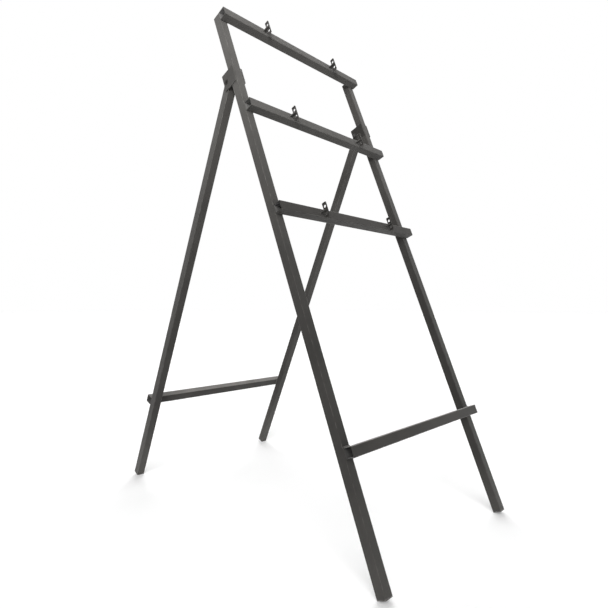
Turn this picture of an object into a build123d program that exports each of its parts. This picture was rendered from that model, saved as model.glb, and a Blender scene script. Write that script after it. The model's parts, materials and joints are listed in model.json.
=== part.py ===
from build123d import *
import os
from math import cos, radians, sin, sqrt, tan

# Folding sign frame of square steel tube: a front frame that leans back and carries three sign rails,
# and a rear frame that swings on two pivot bolts. Millimetres, +Z up, the front looks towards -Y.
# The origin is on the ground under the middle of the open frame.

# Square tube, the same everywhere
tube = 25.0  # outside width
wall = 1.6
tube_corner = 2.0  # outside corner radius

# Front frame, with lengths along the front leg
frame_width = 600.0  # over the outer sides of the legs
front_leg_length = 1526.0
rail_pitch = 311.0  # top edge of one sign rail to the next
front_brace_up = 302.5  # foot to the brace's top edge
lean = 21.9  # front legs from the vertical, degrees

# Rear frame
rear_brace_up = 299.5  # foot to the brace's top edge, along the rear leg
spread = 45.5  # front legs to rear legs when open, degrees

# Hinge
pivot_down = 213.0  # top of the front leg to the pivot, along the leg
fold_gap = 1.0  # front leg to rear leg when folded flat
stop_gap = 0.3  # rear leg's top edge to the front leg when open
swing_gap = 0.4  # rear leg's top to the front leg while it swings
cheek_thick = 4.0
cheek_height = 50.0
cheek_rise = 3.0  # middle of the cheek above the pivot
cheek_reach = 25.0  # behind the back face of the front leg
cheek_corner = 2.0
side_gap = 0.25  # cheek to the side of either leg
weld_leg = 3.0  # leg of the fillet weld between cheek and front leg

# Pivot bolt with a flush countersunk head, washer and lock nut
bolt_width = 8.0
bolt_tail = 2.0  # thread past the nut
bolt_chamfer = 0.8
head_angle = 90.0  # cone of the countersunk head, degrees
head_land = 0.4  # straight part of the hole under the countersink
socket_flats = 5.0
socket_depth = 3.0
washer_width = 16.0
washer_thick = 1.6
nut_flats = 13.0
nut_height = 6.4
collar_width = 11.4  # round collar on the nut, over the locking ring
collar_height = 1.6
bolt_play = 0.2  # radial, in the cheeks and the washer
swing_play = 0.25  # radial, in the rear leg
thread_play = 0.05  # radial, in the nut

# Sign lug: an upright strip of plate, held off the rail by a flat tab that lies across its left side
lug_spacing = 300.0  # between the two lugs of a rail
lug_thick = 3.0
lug_height = 44.0
lug_strip = 14.0  # width of the strip
lug_corner = 2.0
strip_gap = 9.5  # rail face to the strip
tab_length = 21.0
tab_width = 10.0  # from the right face of the strip
tab_drop = 2.25  # middle of the rail down to the middle of the tab
pin_hole = 8.0
pin_hole_pitch = 21.0

# Worked out from the sizes above
bore = tube - 2 * wall
bore_corner = max(tube_corner - wall, wall / 4)
half_width = frame_width / 2
leg_x = half_width - tube / 2
pivot_back = tube / 2 + fold_gap
pivot_up = front_leg_length - pivot_down
rear_tilt = spread - lean
cheek_middle = pivot_up + cheek_rise
cheek_outer_x = half_width + side_gap
cheek_inner_x = half_width - tube - side_gap
hinge_outside_x = cheek_outer_x + cheek_thick
hinge_inside_x = cheek_inner_x - cheek_thick
head_depth = cheek_thick - head_land
head_width = bolt_width + 2 * head_depth * tan(radians(head_angle / 2))
bolt_length = hinge_outside_x - hinge_inside_x + washer_thick + nut_height + collar_height + bolt_tail

lean_sin, lean_cos = sin(radians(lean)), cos(radians(lean))
tilt_sin, tilt_cos = sin(radians(rear_tilt)), cos(radians(rear_tilt))
spread_sin, spread_cos = sin(radians(spread)), cos(radians(spread))

# The pivot's place, measured from the ground edge of the front feet
pivot_y = pivot_back * lean_cos + pivot_up * lean_sin
pivot_z = pivot_up * lean_cos - pivot_back * lean_sin

# Pivot to foot along the rear leg, and the ground edge of the rear feet
rear_reach = (pivot_z - tube / 2 * tilt_sin) / tilt_cos
rear_foot_y = pivot_y + rear_reach * tilt_sin - tube / 2 * tilt_cos

# The mitred top of the rear leg: its long back side stops on the front leg, its short side swings clear of it
mitre_long = rear_reach + (pivot_back - stop_gap + tube / 2 * spread_cos) / spread_sin
mitre_short = rear_reach + sqrt((pivot_back - swing_gap) ** 2 - (tube / 2) ** 2)

# Ground edge of the front feet, so that the open frame is centred over the origin
front_y = -(rear_foot_y + tube * tilt_cos - tube * lean_cos) / 2

# Planes of the two frames: z runs up the leg, y points backwards, and each side plane looks along X
front = Plane(origin=(0, front_y, 0), x_dir=(1, 0, 0), z_dir=(0, lean_sin, lean_cos))
front_side = Plane(origin=front.origin, x_dir=front.y_dir, z_dir=front.x_dir)
front_face = Plane(origin=front.origin, x_dir=front.x_dir, z_dir=-front.y_dir)
rear = Plane(origin=(0, front_y + rear_foot_y, 0), x_dir=(1, 0, 0), z_dir=(0, -tilt_sin, tilt_cos))
rear_side = Plane(origin=rear.origin, x_dir=rear.y_dir, z_dir=rear.x_dir)

rail_tops = {
    "top": front_leg_length,
    "middle": front_leg_length - rail_pitch,
    "lower": front_leg_length - 2 * rail_pitch,
}
sides = {"left": -1, "right": 1}


def tube_section(x, y):
    """Draw the square tube's section in the current sketch, centred at x, y."""
    with Locations((x, y)):
        RectangleRounded(tube, tube, tube_corner)
        RectangleRounded(bore, bore, bore_corner, mode=Mode.SUBTRACT)


def pivot_plane(x):
    """Return the plane across the pivot axis at x, looking away from the middle of the frame."""
    centre = front_side.from_local_coords((pivot_back, pivot_up, x))
    return Plane(origin=centre, x_dir=front.y_dir, z_dir=(1 if x > 0 else -1, 0, 0))


os.makedirs("parts", exist_ok=True)

# Front legs
for side_name, side in sides.items():
    with BuildPart() as front_leg:
        with BuildSketch(front):
            tube_section(side * leg_x, -tube / 2)
        extrude(amount=front_leg_length)
    front_leg.part.label = f"front_leg_{side_name}"
    export_step(front_leg.part, f"parts/front_leg_{side_name}.step")

# Sign rails, on the front faces of the front legs
for rail_name, rail_top in rail_tops.items():
    with BuildPart() as rail:
        with BuildSketch(front_side):
            tube_section(-1.5 * tube, rail_top - tube / 2)
        extrude(amount=half_width, both=True)
    rail.part.label = f"{rail_name}_rail"
    export_step(rail.part, f"parts/{rail_name}_rail.step")

# Front brace, low on the front faces of the front legs
with BuildPart() as front_brace:
    with BuildSketch(front_side):
        tube_section(-1.5 * tube, front_brace_up - tube / 2)
    extrude(amount=half_width, both=True)
front_brace.part.label = "front_brace"
export_step(front_brace.part, "parts/front_brace.step")

# Sign lugs, standing edge-on to the front faces of the rails
rail_face = -2 * tube
strip_middle = rail_face - strip_gap - lug_strip / 2
for rail_name, rail_top in rail_tops.items():
    rail_middle = rail_top - tube / 2
    for side_name, side in sides.items():
        with BuildPart() as sign_lug:
            with BuildSketch(front_side.offset(side * lug_spacing / 2)):
                with Locations((strip_middle, rail_middle)):
                    RectangleRounded(lug_strip, lug_height, lug_corner)
                with Locations((strip_middle, rail_middle)), GridLocations(0, pin_hole_pitch, 1, 2):
                    Circle(pin_hole / 2, mode=Mode.SUBTRACT)
            extrude(amount=lug_thick / 2, both=True)
            with BuildSketch(front_side.offset(side * lug_spacing / 2 + lug_thick / 2)):
                with Locations((rail_face, rail_middle - tab_drop)):
                    Rectangle(tab_length, lug_thick, align=(Align.MAX, Align.CENTER))
            extrude(amount=-tab_width)
        sign_lug.part.label = f"sign_lug_{rail_name}_{side_name}"
        export_step(sign_lug.part, f"parts/sign_lug_{rail_name}_{side_name}.step")

# Hinge cheeks, on both sides of each front leg; the outer ones are countersunk for the bolt heads
cheek_places = {"outer": cheek_outer_x + cheek_thick / 2, "inner": cheek_inner_x - cheek_thick / 2}
for side_name, side in sides.items():
    for place_name, cheek_x in cheek_places.items():
        with BuildPart() as hinge_cheek:
            with BuildSketch(front_side.offset(side * cheek_x)):
                with Locations(((cheek_reach - tube) / 2, cheek_middle)):
                    RectangleRounded(cheek_reach + tube, cheek_height, cheek_corner)
                with Locations((pivot_back, pivot_up)):
                    Circle(bolt_width / 2 + bolt_play, mode=Mode.SUBTRACT)
            extrude(amount=cheek_thick / 2, both=True)
            if place_name == "outer":
                with Locations(pivot_plane(side * hinge_outside_x)):
                    CounterSinkHole(
                        radius=bolt_width / 2 + bolt_play,
                        counter_sink_radius=head_width / 2 + bolt_play,
                        counter_sink_angle=head_angle,
                    )
        hinge_cheek.part.label = f"hinge_cheek_{place_name}_{side_name}"
        export_step(hinge_cheek.part, f"parts/hinge_cheek_{place_name}_{side_name}.step")

# Fillet welds along the top and bottom edges of the cheeks, on the sides of the front leg
weld_ends = max(tube_corner, cheek_corner)
for side_name, side in sides.items():
    leg_sides = ((side * half_width, side), (side * (half_width - tube), -side))
    with BuildPart() as hinge_welds:
        with BuildSketch(front_face.offset(weld_ends)):
            for leg_side_x, away in leg_sides:
                for up in (1, -1):
                    cheek_edge = cheek_middle + up * cheek_height / 2
                    with BuildLine():
                        Polyline(
                            (leg_side_x, cheek_edge),
                            (leg_side_x + away * weld_leg, cheek_edge),
                            (leg_side_x, cheek_edge + up * weld_leg),
                            close=True,
                        )
                    make_face()
        extrude(amount=tube - 2 * weld_ends)
    hinge_welds.part.label = f"hinge_welds_{side_name}"
    export_step(hinge_welds.part, f"parts/hinge_welds_{side_name}.step")

# Pivot bolts, with their heads flush in the outer cheeks
for side_name, side in sides.items():
    head_face = pivot_plane(side * hinge_outside_x)
    with BuildPart() as pivot_bolt:
        with BuildSketch(head_face):
            Circle(bolt_width / 2)
        extrude(amount=-bolt_length)
        chamfer(pivot_bolt.edges().group_by(Axis.X)[-1 if side < 0 else 0], bolt_chamfer)
        with BuildSketch(head_face):
            Circle(head_width / 2)
        extrude(amount=-head_depth, taper=head_angle / 2)
        with BuildSketch(head_face):
            RegularPolygon(socket_flats / 2, 6, major_radius=False)
        extrude(amount=-socket_depth, mode=Mode.SUBTRACT)
    pivot_bolt.part.label = f"pivot_bolt_{side_name}"
    export_step(pivot_bolt.part, f"parts/pivot_bolt_{side_name}.step")

# Pivot washers, on the inner cheeks
for side_name, side in sides.items():
    with BuildPart() as pivot_washer:
        with BuildSketch(pivot_plane(side * hinge_inside_x)):
            Circle(washer_width / 2)
            Circle(bolt_width / 2 + bolt_play, mode=Mode.SUBTRACT)
        extrude(amount=-washer_thick)
    pivot_washer.part.label = f"pivot_washer_{side_name}"
    export_step(pivot_washer.part, f"parts/pivot_washer_{side_name}.step")

# Lock nuts on the washers
for side_name, side in sides.items():
    nut_seat = pivot_plane(side * (hinge_inside_x - washer_thick))
    with BuildPart() as pivot_nut:
        with BuildSketch(nut_seat):
            RegularPolygon(nut_flats / 2, 6, major_radius=False)
        extrude(amount=-nut_height)
        with BuildSketch(nut_seat.offset(-nut_height)):
            Circle(collar_width / 2)
        extrude(amount=-collar_height)
        with BuildSketch(nut_seat):
            Circle(bolt_width / 2 + thread_play)
        extrude(amount=-(nut_height + collar_height), mode=Mode.SUBTRACT)
    pivot_nut.part.label = f"pivot_nut_{side_name}"
    export_step(pivot_nut.part, f"parts/pivot_nut_{side_name}.step")

# Rear legs, with mitred tops bored for the pivot bolts
for side_name, side in sides.items():
    leg_middle = rear_side.offset(side * leg_x)
    with BuildPart() as rear_leg:
        with BuildSketch(rear):
            tube_section(side * leg_x, tube / 2)
        extrude(amount=mitre_long)
        with BuildSketch(leg_middle):
            with BuildLine():
                Polyline((0, mitre_short), (tube, mitre_long), (0, mitre_long), close=True)
            make_face()
        extrude(amount=tube, both=True, mode=Mode.SUBTRACT)
        with BuildSketch(leg_middle):
            with Locations((tube / 2, rear_reach)):
                Circle(bolt_width / 2 + swing_play)
        extrude(amount=tube, both=True, mode=Mode.SUBTRACT)
    rear_leg.part.label = f"rear_leg_{side_name}"
    export_step(rear_leg.part, f"parts/rear_leg_{side_name}.step")

# Rear brace, low on the back faces of the rear legs
with BuildPart() as rear_brace:
    with BuildSketch(rear_side):
        tube_section(1.5 * tube, rear_brace_up - tube / 2)
    extrude(amount=half_width, both=True)
rear_brace.part.label = "rear_brace"
export_step(rear_brace.part, "parts/rear_brace.step")

pivot = front_side.from_local_coords((pivot_back, pivot_up, 0))
print("pivot axis through", [round(value, 4) for value in pivot])
print("rear leg", round(mitre_long, 2), "bolt", round(bolt_length, 2), "bolt head", round(head_width, 2))
print("ground edges at", round(front_y, 3), "and", round(front_y + rear_foot_y, 3))
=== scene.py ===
"""Looks of the folding sign frame, a powder-coated A-frame of square steel tube."""

import json
import logging
import math
import random
from collections.abc import Callable, Iterable
from dataclasses import dataclass, field
from enum import Enum

import bmesh
import bpy
from bmesh.types import BMEdge, BMesh, BMFace, BMVert
from bpy.types import Light, Material, Node, NodeSocket, NodeTree, Object
from mathutils import Matrix, Vector


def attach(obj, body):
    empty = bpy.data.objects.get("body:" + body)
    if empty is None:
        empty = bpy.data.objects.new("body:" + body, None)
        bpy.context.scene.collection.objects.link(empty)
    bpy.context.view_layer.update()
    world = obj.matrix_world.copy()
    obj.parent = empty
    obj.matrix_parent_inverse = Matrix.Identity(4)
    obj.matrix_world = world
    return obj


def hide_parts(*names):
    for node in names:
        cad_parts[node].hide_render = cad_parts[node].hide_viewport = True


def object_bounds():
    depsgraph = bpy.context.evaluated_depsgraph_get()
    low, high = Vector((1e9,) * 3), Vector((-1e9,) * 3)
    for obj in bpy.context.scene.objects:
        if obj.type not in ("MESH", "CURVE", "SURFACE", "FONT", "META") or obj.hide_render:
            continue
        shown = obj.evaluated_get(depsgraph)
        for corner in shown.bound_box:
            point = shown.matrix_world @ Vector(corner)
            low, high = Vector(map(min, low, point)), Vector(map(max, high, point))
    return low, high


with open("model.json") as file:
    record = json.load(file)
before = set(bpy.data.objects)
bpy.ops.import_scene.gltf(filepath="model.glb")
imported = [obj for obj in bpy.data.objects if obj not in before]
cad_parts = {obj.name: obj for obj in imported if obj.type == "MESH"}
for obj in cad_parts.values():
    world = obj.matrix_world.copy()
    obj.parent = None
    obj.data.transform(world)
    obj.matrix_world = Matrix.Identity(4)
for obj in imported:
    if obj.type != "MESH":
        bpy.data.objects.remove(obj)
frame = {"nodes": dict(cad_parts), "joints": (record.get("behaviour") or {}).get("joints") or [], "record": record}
CAD_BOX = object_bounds()
RECORD = frame["record"]

MM = 0.001
MERGE_DISTANCE = 0.002 * MM
UNIT_GRID = 0.5
HEXAGON = 6
ACROSS = Vector((1.0, 0.0, 0.0))
BACK = Vector((0.0, 1.0, 0.0))
UP = Vector((0.0, 0.0, 1.0))
PLATE_PLANE = Matrix((BACK, UP, ACROSS)).transposed().to_4x4()
ORDER_LINE = Vector((1.0, math.sqrt(2.0), math.sqrt(3.0)))

Colour = tuple[float, float, float, float]
WHITE: Colour = (1.0, 1.0, 1.0, 1.0)
# How much the front frame's legs lighten towards the feet.
FRONT_FOOT_LIGHTENING = 0.11

log = logging.getLogger("sign_frame")


class Side(Enum):
    """Left and right as seen from the front, each with its sign along X."""

    LEFT = -1
    RIGHT = 1

    @property
    def word(self) -> str:
        """The side's word in node names."""
        return self.name.lower()


class Tier(Enum):
    """The three sign rails, by the word in their node names."""

    TOP = "top"
    MIDDLE = "middle"
    LOWER = "lower"


class Place(Enum):
    """The two cheek plates of a hinge, by the word in their node names."""

    OUTER = "outer"
    INNER = "inner"


class Body(Enum):
    """The bodies that the pieces ride on."""

    FRONT = "front_frame"
    REAR = "rear_frame"


class Slot(Enum):
    """The record's material slots."""

    FRAME = "frame_black"
    FASTENER = "fastener_black"


@dataclass(frozen=True)
class LegAxes:
    """Own axes of one leg frame: x across it, y back through its tubes and z up its legs."""

    tilt: float

    @classmethod
    def of_mount(cls, name: str) -> "LegAxes":
        """Read the axes from a low brace's upper face, whose normal runs up the legs.

        Args:
            name: Name of the mount in the record.

        Returns:
            The axes of that leg frame.
        """
        axis = next(mount["axis"] for mount in RECORD["mounts"] if mount["name"] == name)
        return cls(tilt=math.atan2(axis[1], axis[2]))

    @property
    def from_scene(self) -> Matrix:
        """Matrix from the scene's axes to the leg frame's own."""
        return Matrix.Rotation(self.tilt, 4, "X")

    @property
    def to_scene(self) -> Matrix:
        """Matrix from the leg frame's own axes to the scene's."""
        return Matrix.Rotation(-self.tilt, 4, "X")

    def span(self, node: str) -> tuple[Vector, Vector]:
        """Measure a CAD node along the leg frame's own axes.

        Args:
            node: Name of the node.

        Returns:
            The node's lowest and highest corner.
        """
        turn = self.from_scene
        points = [turn @ vertex.co for vertex in frame["nodes"][node].data.vertices]
        low = Vector(min(point[axis] for point in points) for axis in range(3))
        high = Vector(max(point[axis] for point in points) for axis in range(3))
        return low, high

    def locate(self, point: Iterable[float]) -> Vector:
        """Give a scene point in the leg frame's own axes."""
        return self.from_scene @ Vector(point)


@dataclass(frozen=True)
class Noise:
    """Noise pattern, by its waves to a metre, its detail and its roughness."""

    waves: float
    detail: float
    rough: float


@dataclass(frozen=True)
class Fade:
    """Smooth step that carries values between start and end over to low and high."""

    start: float
    end: float
    low: float = 0.0
    high: float = 1.0


class Bench:
    """Lays out and links the shader nodes of one tree."""

    def __init__(self, tree: NodeTree) -> None:
        """Start from an empty tree."""
        self.tree = tree
        tree.nodes.clear()

    def feed(self, socket: NodeSocket, value: object) -> None:
        """Link a socket to another one, or set its value.

        Args:
            socket: The input to feed.
            value: Another node's output, or a plain value.
        """
        if isinstance(value, NodeSocket):
            self.tree.links.new(value, socket)
        else:
            socket.default_value = value

    def node(self, kind: str, inputs: dict[str | int, object] | None = None, **settings: object) -> Node:
        """Add a node.

        Args:
            kind: Type name of the node.
            inputs: Values or sockets for its inputs, by name or place.
            **settings: Values for its properties.

        Returns:
            The new node.
        """
        made = self.tree.nodes.new(kind)
        for key, value in settings.items():
            setattr(made, key, value)
        for key, value in (inputs or {}).items():
            self.feed(made.inputs[key], value)
        return made

    def math(self, operation: str, *values: object) -> NodeSocket:
        """Work out a number from one, two or three others.

        Args:
            operation: Type name of the sum.
            *values: The numbers, plain or from sockets.

        Returns:
            The result.
        """
        made = self.node("ShaderNodeMath", operation=operation)
        for socket, value in zip(made.inputs, values):
            self.feed(socket, value)
        return made.outputs["Value"]

    def noise(self, place: NodeSocket, noise: Noise) -> NodeSocket:
        """Lay a noise pattern over a surface."""
        inputs = {"Vector": place, "Scale": noise.waves, "Detail": noise.detail, "Roughness": noise.rough}
        return self.node("ShaderNodeTexNoise", inputs).outputs["Fac"]

    def fade(self, value: NodeSocket, fade: Fade) -> NodeSocket:
        """Carry a value over from one range to another, held at the ends.

        Args:
            value: The value.
            fade: The two ranges.

        Returns:
            The value in its new range.
        """
        inputs = {
            "Value": value,
            "From Min": fade.start,
            "From Max": fade.end,
            "To Min": fade.low,
            "To Max": fade.high,
        }
        return self.node("ShaderNodeMapRange", inputs, interpolation_type="SMOOTHSTEP").outputs["Result"]

    def mix(self, share: NodeSocket, first: object, second: object) -> NodeSocket:
        """Mix two colours.

        Args:
            share: Share of the second colour.
            first: The first colour, plain or from a socket.
            second: The second colour, plain or from a socket.

        Returns:
            The mixed colour.
        """
        made = self.node("ShaderNodeMix", data_type="RGBA")
        for index, value in ((0, share), (6, first), (7, second)):
            self.feed(made.inputs[index], value)
        return made.outputs[2]

    def bump(self, height: NodeSocket, depth: float) -> NodeSocket:
        """Raise a pattern to a real depth, as a surface normal."""
        made = self.node("ShaderNodeBump", {"Height": height, "Strength": 1.0, "Distance": depth})
        return made.outputs["Normal"]

    def surface(self, inputs: dict[str | int, object]) -> None:
        """End a material with its shader."""
        shader = self.node("ShaderNodeBsdfPrincipled", inputs)
        self.node("ShaderNodeOutputMaterial", {"Surface": shader.outputs["BSDF"]})


def start_material(name: str) -> tuple[Material, Bench, Node]:
    """Start a material.

    Args:
        name: Its name.

    Returns:
        The material, the bench for its nodes and the node of its coordinates.
    """
    material = bpy.data.materials.new(name)
    material.use_nodes = True
    bench = Bench(material.node_tree)
    return material, bench, bench.node("ShaderNodeTexCoord")


@dataclass(frozen=True)
class Tone:
    """Colours of a coat where it lies thick and thin, and its sheen."""

    thick: Colour
    thin: Colour
    sheen: float = 0.25


class Shade(Enum):
    """Tones of the powder coat on the frame's pieces: the darker copies are painted shade, the lighter one a
    painted highlight.
    """

    FRAME = Tone((0.0275, 0.0260, 0.0241, 1.0), (0.0355, 0.0336, 0.0311, 1.0))
    # Lower rail: a darker copy of the frame's coat, painted shade.
    LOWER_RAIL = Tone((0.0220, 0.0206, 0.0191, 1.0), (0.0285, 0.0267, 0.0247, 1.0), 0.19)
    # Outer cheeks: a darker copy of the frame's coat, painted shade.
    CHEEK = Tone((0.0195, 0.0185, 0.0171, 1.0), (0.0265, 0.0250, 0.0232, 1.0), 0.18)
    # Tab's left edge: a lighter copy of the frame's coat, a painted highlight.
    WORN_TAB = Tone((0.050, 0.0478, 0.0448, 1.0), (0.064, 0.0612, 0.0575, 1.0))
    # Lugs and inner cheeks: a darker copy of the frame's coat, painted shade.
    LUG = Tone((0.0165, 0.0156, 0.0145, 1.0), (0.0225, 0.0212, 0.0197, 1.0), 0.14)


@dataclass(frozen=True)
class PowderCoat:
    """Satin black powder coat: orange peel, corners lightened by wear and a painted highlight, dust with painted
    top light on upward faces, lighter towards the feet, scuffs of bare steel at the feet.
    """

    name: str
    axes: LegAxes
    foot_level: float
    shade: Shade = Shade.FRAME
    # Lighter colour on the rounded corners: wear of the coat and a painted highlight.
    edge: Colour = (0.125, 0.121, 0.115, 1.0)
    # Lighter colour on upward faces and towards the feet: dust, with painted light from above.
    dust: Colour = (0.30, 0.289, 0.272, 1.0)
    steel: Colour = (0.22, 0.213, 0.205, 1.0)
    specular: float = 0.03
    sheen_roughness: float = 0.5
    sheen_tint: Colour = (1.0, 0.988, 0.968, 1.0)
    patches: Noise = Noise(11.0, 5.0, 0.55)
    patch_fade: Fade = Fade(0.3, 0.7)
    corner_fade: Fade = Fade(0.97, 0.78)
    rubs: Noise = Noise(75.0, 5.0, 0.6)
    rub_fade: Fade = Fade(0.38, 0.66, 0.20, 0.62)
    drifts: Noise = Noise(24.0, 4.0, 0.55)
    drift_fade: Fade = Fade(0.28, 0.68, 0.68, 1.0)
    motes: Noise = Noise(950.0, 3.0, 0.6)
    mote_fade: Fade = Fade(0.32, 0.64, 0.55, 1.0)
    settle_fade: Fade = Fade(0.5, 0.95, 0.0, 0.62)
    # How much the legs lighten towards the feet, and over what height.
    splash_share: float = 0.17
    splash_height: float = 260.0 * MM
    specks: Noise = Noise(320.0, 6.0, 0.65)
    speck_fade: Fade = Fade(0.93, 0.99)
    scuff_share: float = 0.5
    scuff_height: float = 9.0 * MM
    smudges: Noise = Noise(25.3, 4.0, 0.6)
    gloss_fade: Fade = Fade(0.32, 0.68, 0.50, 0.40)
    edge_gloss: float = -0.06
    dust_gloss: float = 1.5
    peel: Noise = Noise(430.0, 2.0, 0.45)
    grain: Noise = Noise(1700.0, 2.0, 0.5)
    grain_share: float = 0.25
    bare_sink: float = -0.8
    peel_depth: float = 0.035 * MM

    def build(self) -> Material:
        """Make the material.

        Returns:
            The coat.
        """
        material, bench, coords = start_material(self.name)
        turn = {"Rotation": (self.axes.tilt, 0.0, 0.0)}
        normal = coords.outputs["Normal"]
        turned = bench.node("ShaderNodeMapping", {"Vector": coords.outputs["Object"], **turn})
        place = turned.outputs["Vector"]
        facing = bench.node("ShaderNodeMapping", {"Vector": normal, **turn}, vector_type="VECTOR")
        up_leg = bench.node("ShaderNodeSeparateXYZ", {"Vector": place}).outputs["Z"]

        coat = bench.mix(bench.fade(bench.noise(place, self.patches), self.patch_fade),
                         self.shade.value.thick, self.shade.value.thin)
        # Corners lightened in patches: wear and a painted highlight.
        edge = self._edge_share(bench, facing.outputs["Vector"], place)
        coat = bench.mix(edge, coat, self.edge)
        # Lighter on upward faces and towards the feet: dust and painted top light.
        dust = self._dust_share(bench, normal, place, up_leg)
        coat = bench.mix(dust, coat, self.dust)
        bare = self._scuff_share(bench, place, up_leg)
        coat = bench.mix(bare, coat, self.steel)

        gloss = bench.fade(bench.noise(place, self.smudges), self.gloss_fade)
        gloss = bench.math("MULTIPLY_ADD", edge, self.edge_gloss, gloss)
        gloss = bench.math("MULTIPLY_ADD", dust, self.dust_gloss, gloss)

        grain = bench.noise(place, self.grain)
        height = bench.math("MULTIPLY_ADD", grain, self.grain_share, bench.noise(place, self.peel))
        height = bench.math("MULTIPLY_ADD", bare, self.bare_sink, height)
        bench.surface({
            "Base Color": coat,
            "Metallic": bare,
            "Roughness": gloss,
            "Specular IOR Level": self.specular,
            "Sheen Weight": self.shade.value.sheen,
            "Sheen Roughness": self.sheen_roughness,
            "Sheen Tint": self.sheen_tint,
            "Normal": bench.bump(height, self.peel_depth),
        })
        return material

    def _edge_share(self, bench: Bench, facing: NodeSocket, place: NodeSocket) -> NodeSocket:
        """Find the rounded corners of the tubes, lightened in patches by wear of the coat and by a painted
        highlight.

        Args:
            bench: The material's nodes.
            facing: Surface normal along the leg frame's own axes.
            place: Position along the same axes.

        Returns:
            A share from 0 on the flats to about a half on the lightened corners.
        """
        parts = bench.node("ShaderNodeSeparateXYZ", {"Vector": facing}).outputs
        sizes = [bench.math("ABSOLUTE", parts[axis]) for axis in "XYZ"]
        flat = bench.math("MAXIMUM", bench.math("MAXIMUM", sizes[0], sizes[1]), sizes[2])
        corner = bench.fade(flat, self.corner_fade)
        patchy = bench.fade(bench.noise(place, self.rubs), self.rub_fade)
        return bench.math("MULTIPLY", corner, patchy)

    def _dust_share(self, bench: Bench, normal: NodeSocket, place: NodeSocket,
                    up_leg: NodeSocket) -> NodeSocket:
        """Find where the coat turns lighter: dust with painted light from above on upward faces, and a lightening
        towards the feet.

        Args:
            bench: The material's nodes.
            normal: Surface normal along the scene's axes.
            place: Position along the leg frame's own axes.
            up_leg: Height up the leg.

        Returns:
            The share of the lighter colour over the coat.
        """
        # Upward faces turn lighter: dust, with painted light from above.
        above = bench.node("ShaderNodeSeparateXYZ", {"Vector": normal}).outputs["Z"]
        drifts = bench.fade(bench.noise(place, self.drifts), self.drift_fade)
        motes = bench.fade(bench.noise(place, self.motes), self.mote_fade)
        # The legs lighten towards the feet.
        foot_lightening_top = self.foot_level + self.splash_height
        foot_lightening = bench.fade(up_leg, Fade(self.foot_level, foot_lightening_top, self.splash_share, 0.0))
        lightened = bench.math("ADD", bench.fade(above, self.settle_fade), foot_lightening)
        return bench.math("MULTIPLY", lightened, bench.math("MULTIPLY", drifts, motes))

    def _scuff_share(self, bench: Bench, place: NodeSocket, up_leg: NodeSocket) -> NodeSocket:
        """Find the specks of bare steel where the feet stand on the road.

        Args:
            bench: The material's nodes.
            place: Position along the leg frame's own axes.
            up_leg: Height up the leg.

        Returns:
            A share that is 1 on bare steel.
        """
        scuff_top = self.foot_level + self.scuff_height
        near = bench.fade(up_leg, Fade(self.foot_level, scuff_top, self.scuff_share, 0.0))
        return bench.fade(bench.math("ADD", bench.noise(place, self.specks), near), self.speck_fade)


@dataclass(frozen=True)
class ZincLining:
    """Inside of the tubes, which the powder reached only as a thin mist: grey zinc under overspray, made lighter
    than it is as painted light reaching into the tube mouths.
    """

    name: str = "zinc_lining"
    # Lighter than the outside coat: painted light reaching into the tube mouths, over grey zinc.
    dull: Colour = (0.052, 0.050, 0.0475, 1.0)
    bright: Colour = (0.086, 0.083, 0.079, 1.0)
    overspray: Colour = (0.036, 0.0345, 0.0325, 1.0)
    metal: float = 0.15
    specular: float = 0.1
    sheen: float = 0.35
    patches: Noise = Noise(60.0, 6.0, 0.6)
    patch_fade: Fade = Fade(0.35, 0.65)
    gloss_fade: Fade = Fade(0.3, 0.7, 0.62, 0.48)
    spray: Noise = Noise(170.0, 6.0, 0.65)
    spray_fade: Fade = Fade(0.54, 0.72, 0.0, 0.6)
    grain: Noise = Noise(900.0, 4.0, 0.6)
    grain_depth: float = 0.03 * MM

    def build(self) -> Material:
        """Make the material.

        Returns:
            The lining.
        """
        material, bench, coords = start_material(self.name)
        place = coords.outputs["Object"]
        patches = bench.noise(place, self.patches)
        zinc = bench.mix(bench.fade(patches, self.patch_fade), self.dull, self.bright)
        sprayed = bench.fade(bench.noise(place, self.spray), self.spray_fade)
        bench.surface({
            "Base Color": bench.mix(sprayed, zinc, self.overspray),
            "Metallic": self.metal,
            "Roughness": bench.fade(patches, self.gloss_fade),
            "Specular IOR Level": self.specular,
            "Sheen Weight": self.sheen,
            "Normal": bench.bump(bench.noise(place, self.grain), self.grain_depth),
        })
        return material


@dataclass(frozen=True)
class MottledFinish:
    """Finish of two mottled tones, whose gloss follows the mottle, over a fine grain."""

    name: str
    dark: Colour
    light: Colour
    mottle: Noise
    tone_fade: Fade | None
    gloss_fade: Fade
    grain: Noise
    grain_depth: float
    metal: float = 0.0
    specular: float = 0.5

    def build(self) -> Material:
        """Make the material.

        Returns:
            The finish.
        """
        material, bench, coords = start_material(self.name)
        place = coords.outputs["Object"]
        mottle = bench.noise(place, self.mottle)
        tone = bench.fade(mottle, self.tone_fade) if self.tone_fade else mottle
        bench.surface({
            "Base Color": bench.mix(tone, self.dark, self.light),
            "Metallic": self.metal,
            "Roughness": bench.fade(mottle, self.gloss_fade),
            "Specular IOR Level": self.specular,
            "Normal": bench.bump(bench.noise(place, self.grain), self.grain_depth),
        })
        return material


@dataclass(frozen=True)
class BlackOxide(MottledFinish):
    """Oiled black oxide on steel fasteners, with the oil lying unevenly."""

    name: str = "black_oxide"
    dark: Colour = (0.018, 0.0173, 0.0166, 1.0)
    light: Colour = (0.034, 0.0327, 0.0314, 1.0)
    mottle: Noise = Noise(160.0, 5.0, 0.6)
    tone_fade: Fade | None = Fade(0.3, 0.7)
    gloss_fade: Fade = Fade(0.35, 0.7, 0.60, 0.46)
    grain: Noise = Noise(2600.0, 3.0, 0.6)
    grain_depth: float = 0.012 * MM
    metal: float = 0.20


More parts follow.
